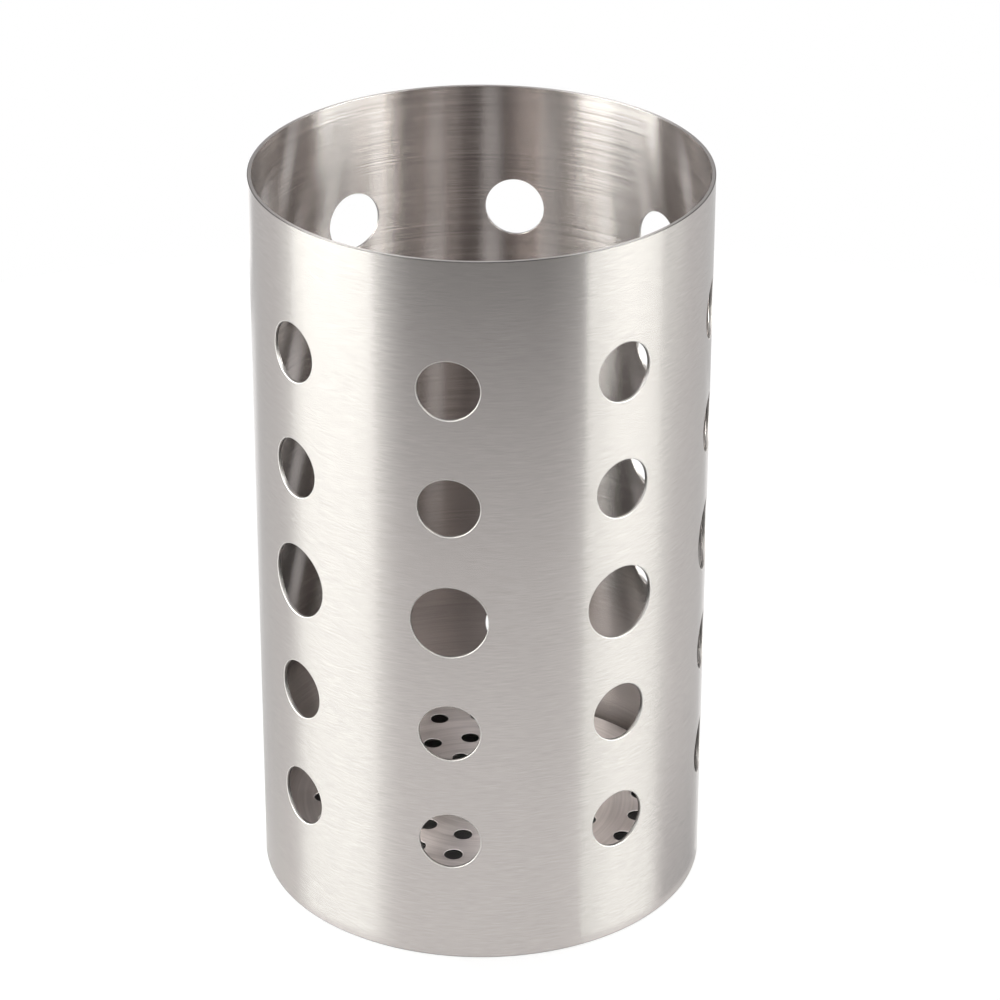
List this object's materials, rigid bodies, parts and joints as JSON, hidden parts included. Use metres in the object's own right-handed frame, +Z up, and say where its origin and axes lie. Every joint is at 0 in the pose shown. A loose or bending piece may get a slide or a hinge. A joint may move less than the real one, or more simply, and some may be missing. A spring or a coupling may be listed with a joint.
{
  "type": "utensil holder",
  "caption": "Tall round steel utensil holder: a tube wall with columns of round holes, larger in the middle row, and a raised base pan pierced with drain holes.",
  "frame": {"origin": "centre of the circle that the wall stands on", "axes": "+Z up along the axis of the tube, -Y out through the middle of one column of holes"},
  "size_m": [0.1194, 0.1194, 0.2],
  "materials": {
    "brushed_wall": "brushed round the tube, satin",
    "spun_base": "brushed in circles, satin"
  },
  "bodies": {
    "root": {"wall": "brushed_wall", "base_pan": "spun_base"}
  },
  "joints": []
}
